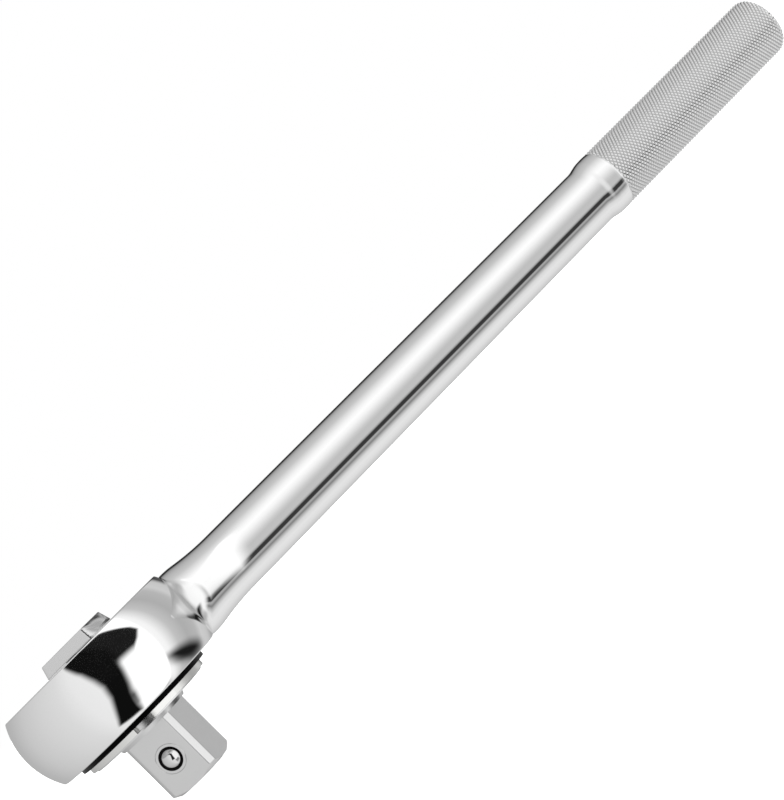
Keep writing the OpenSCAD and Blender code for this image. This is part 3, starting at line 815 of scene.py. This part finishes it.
def make_world(strength):
    """Surroundings that depend only on direction; the camera itself sees plain white."""
    world = bpy.data.worlds.new("studio")
    bpy.context.scene.world = world
    world.use_nodes = True
    tree = world.node_tree
    tree.nodes.clear()
    way = add_node(tree, "ShaderNodeTexCoord").outputs["Generated"]
    part = add_node(tree, "ShaderNodeSeparateXYZ", None, {"Vector": way}).outputs

    def maths(operation, a, b=0.0, c=0.0):
        return add_node(tree, "ShaderNodeMath", {"operation": operation},
                        {0: a, 1: b, 2: c}).outputs["Value"]

    def step_in(value, start, end):
        return add_node(tree, "ShaderNodeMapRange", {"interpolation_type": "SMOOTHSTEP"}, {
            "Value": value, "From Min": start, "From Max": end}).outputs["Result"]

    back = maths("MULTIPLY", part["Y"], -1.0)
    down = maths("MULTIPLY", part["Z"], -1.0)
    turn = 1 / (2 * math.pi)
    about = maths("MULTIPLY_ADD", maths("ARCTAN2", down, back), turn, 0.5)
    bearing = maths("MULTIPLY_ADD", maths("ARCTAN2", part["X"], back), turn, 0.5)
    ramps = []
    for place, stops in ((about, sky_profile()), (bearing, side_profile())):
        ramp = add_node(tree, "ShaderNodeValToRGB", None, {"Fac": place})
        fill_ramp(ramp.color_ramp, [((a + 180) / 360, code) for a, code in stops])
        ramps.append(ramp.outputs["Color"])
    share = maths("MAXIMUM", step_in(part["X"], 0.06, -0.08), step_in(part["X"], 0.44, 0.64))
    mixed = add_node(tree, "ShaderNodeMix", {"data_type": "RGBA"}, {0: share, 6: ramps[0],
                                                                     7: ramps[1]})
    # The dark gap under the right-hand wall, seen only by surfaces that lean down to the right
    gap = maths("MULTIPLY", step_in(part["X"], 0.66, 0.84), step_in(part["Z"], -0.34, -0.50))
    gap = maths("MULTIPLY", gap, step_in(part["Z"], -0.72, -0.58))
    darkened = add_node(tree, "ShaderNodeMix", {"data_type": "RGBA"}, {
        0: gap, 6: mixed.outputs[2], 7: linear("1A1A1A")})
    seen = add_node(tree, "ShaderNodeLightPath").outputs["Is Camera Ray"]
    around = add_node(tree, "ShaderNodeBackground", None, {"Color": darkened.outputs[2],
                                                           "Strength": strength})
    plain = add_node(tree, "ShaderNodeBackground", None, {"Color": linear("FFFFFF"),
                                                          "Strength": 1.0})
    choice = add_node(tree, "ShaderNodeMixShader", None, {0: seen, 1: around.outputs[0],
                                                          2: plain.outputs[0]})
    out = add_node(tree, "ShaderNodeOutputWorld")
    tree.links.new(choice.outputs[0], out.inputs["Surface"])


def make_card(name, depth, edges, grey, light, soft):
    """A studio card in front of the head that only shows in reflections.

    edges holds height, left and right edge in mm from top to bottom. The card spans them on a
    grid, and its cover falls to nothing over soft mm at both sides and at both ends."""
    edges = np.asarray(edges, float)
    height = np.linspace(edges[0, 0], edges[-1, 0], 90)
    order = edges[::-1]
    left = np.interp(height, order[:, 0], order[:, 1])[:, None]
    right = np.interp(height, order[:, 0], order[:, 2])[:, None]
    t = np.linspace(0, 1, 60)
    x = left + t * (right - left)
    z = height[:, None] + 0 * x
    points = np.stack([x, depth + 0 * x, z], -1)
    near = np.minimum(x - left, right - x)
    near = np.minimum(near, np.minimum(height[0] - z, z - height[-1]))
    index = np.arange(x.size).reshape(x.shape)
    faces = np.stack([index[:-1, :-1], index[1:, :-1], index[1:, 1:], index[:-1, 1:]], -1)
    obj = raw_object(name, points, faces.reshape(-1, 4).tolist())
    cover = obj.data.attributes.new("card_cover", "FLOAT", "POINT")
    cover.data.foreach_set("value", smooth_step(near / soft).astype(np.float32).ravel())
    material, tree, out = new_tree(name + "_card")
    share = add_node(tree, "ShaderNodeAttribute", {"attribute_name": "card_cover"}).outputs["Fac"]
    clear = add_node(tree, "ShaderNodeBsdfTransparent")
    glow = add_node(tree, "ShaderNodeEmission", None, {"Color": linear(grey), "Strength": light})
    mixed = add_node(tree, "ShaderNodeMixShader", None, {0: share, 1: clear.outputs[0],
                                                         2: glow.outputs[0]})
    tree.links.new(mixed.outputs[0], out.inputs["Surface"])
    obj.data.materials.append(material)
    obj.visible_camera = obj.visible_diffuse = obj.visible_shadow = False
    obj.visible_transmission = obj.visible_volume_scatter = False


def make_floor(colour, low):
    """A pale floor that faces up, a little brighter than its light alone would make it, and
    clear from below."""
    size = 6000.0
    points = [[-size, -size, low], [size, -size, low], [size, size, low], [-size, size, low]]
    obj = raw_object("floor", points, [[0, 1, 2, 3]])
    obj.data.flip_normals()
    material, tree, out = new_tree("pale_studio_floor")
    glow = add_node(tree, "ShaderNodeEmission", None, {"Color": linear("FFFFFF"),
                                                       "Strength": 0.8})
    matt = add_node(tree, "ShaderNodeBsdfDiffuse", None, {"Color": (*colour, 1.0)})
    both = add_node(tree, "ShaderNodeAddShader", None, {0: glow.outputs[0], 1: matt.outputs[0]})
    clear = add_node(tree, "ShaderNodeBsdfTransparent")
    under = add_node(tree, "ShaderNodeNewGeometry").outputs["Backfacing"]
    mixed = add_node(tree, "ShaderNodeMixShader", None, {0: under, 1: both.outputs[0],
                                                         2: clear.outputs[0]})
    tree.links.new(mixed.outputs[0], out.inputs["Surface"])
    obj.data.materials.append(material)
    obj.visible_glossy = False


class OBJECT_OT_ratchet_stage(bpy.types.Operator):
    """Set up the camera, the surroundings, the reflector cards, the soft light and the floor"""
    bl_idname = "object.ratchet_stage"
    bl_label = "Stage"

    def execute(self, context):
        s = context.scene.ratchet_stage
        forward = np.array([math.sin(s.yaw) * math.cos(s.pitch),
                            math.cos(s.yaw) * math.cos(s.pitch), math.sin(s.pitch)])
        level = np.array([math.cos(s.yaw), -math.sin(s.yaw), 0])
        up = np.cross(level, forward)
        c, d = math.cos(s.roll), math.sin(s.roll)
        across, above = c * level - d * up, d * level + c * up
        data = bpy.data.cameras.new("camera")
        data.lens = s.lens
        data.sensor_width = 36.0
        data.clip_start, data.clip_end = 0.01, 50.0
        camera = bpy.data.objects.new("camera", data)
        pose = np.eye(4)
        pose[:3, :3] = np.stack([across, above, -forward], -1)
        pose[:3, 3] = s.camera_place
        camera.matrix_world = Matrix(pose.tolist())
        context.scene.collection.objects.link(camera)
        context.scene.camera = camera
        context.scene.view_settings.view_transform = "Standard"

        make_world(s.light)
        # A white card right of the head's middle, and two black flags that make its dark shape
        make_card("white_card", -61.0, [
            (190, 2, 84), (130, 2, 80), (96, 3, 76), (60, 4, 70), (30, 4, 67), (-2, 0, 67),
            (-60, -8, 67)], "FFFFFF", 1.25, 8.0)
        make_card("black_flag", -60.0, [
            (99, -42, -2), (75, -35, 3), (62, -30, 7), (52, -26, 12), (45, -22.5, 15),
            (30, -17.5, 14), (20, -15.5, 12), (8, -17.5, 8.5), (0, -21, 5.5), (-10, -25.5, 3.5),
            (-20, -30, 2.5), (-30, -35, 2.5), (-39, -38, 2)], "101010", 1.0, 7.5)
        make_card("grey_flag", -60.4, [
            (84, -12, 22), (64, -8, 42), (52, -4, 56), (43, -2, 60), (33, 0, 46), (22, 4, 24)],
            "1C1C1C", 1.0, 9.0)
        lamp = bpy.data.lights.new("softbox", "AREA")
        lamp.shape = "RECTANGLE"
        lamp.size, lamp.size_y = 0.9, 0.6
        lamp.energy = 6.0
        box = bpy.data.objects.new("softbox", lamp)
        box.matrix_world = Matrix.Translation((-0.35, -0.45, 0.9)) @ Matrix.Rotation(
            math.radians(-28), 4, "Y") @ Matrix.Rotation(math.radians(27), 4, "X")
        box.visible_glossy = False
        context.scene.collection.objects.link(box)
        make_floor(s.floor, CAD_BOX[0][2] / MM - 0.05)
        return {"FINISHED"}


class VIEW3D_PT_ratchet(bpy.types.Panel):
    bl_label = "Ratchet wrench"
    bl_idname = "VIEW3D_PT_ratchet"
    bl_space_type = "VIEW_3D"
    bl_region_type = "UI"
    bl_category = "Ratchet"

    def draw(self, context):
        for operator, settings in STEPS:
            box = self.layout.box()
            box.operator(operator)
            group = getattr(context.scene, settings, None) if settings else None
            if group:
                for name in group.__annotations__:
                    box.prop(group, name)


GROUPS = {"ratchet_forging": RatchetForging, "ratchet_drive": RatchetDrive,
          "ratchet_lever": RatchetLever, "ratchet_stage": RatchetStage}
STEPS = [("object.ratchet_stage", "ratchet_stage"), ("object.ratchet_inside", None),
         ("object.ratchet_forging", "ratchet_forging"), ("object.ratchet_drive", "ratchet_drive"),
         ("object.ratchet_lever", "ratchet_lever"), ("object.ratchet_rings", None)]
CLASSES = [*GROUPS.values(), OBJECT_OT_ratchet_stage, OBJECT_OT_ratchet_inside,
           OBJECT_OT_ratchet_forging, OBJECT_OT_ratchet_drive, OBJECT_OT_ratchet_lever,
           OBJECT_OT_ratchet_rings, VIEW3D_PT_ratchet]


def register():
    for kind in CLASSES:
        bpy.utils.register_class(kind)
    for name, kind in GROUPS.items():
        setattr(bpy.types.Scene, name, bpy.props.PointerProperty(type=kind))


def unregister():
    for name in GROUPS:
        delattr(bpy.types.Scene, name)
    for kind in reversed(CLASSES):
        bpy.utils.unregister_class(kind)


def main():
    register()
    for operator, _ in STEPS:
        group, name = operator.split(".")
        getattr(getattr(bpy.ops, group), name)()


if __name__ == "__main__":
    main()
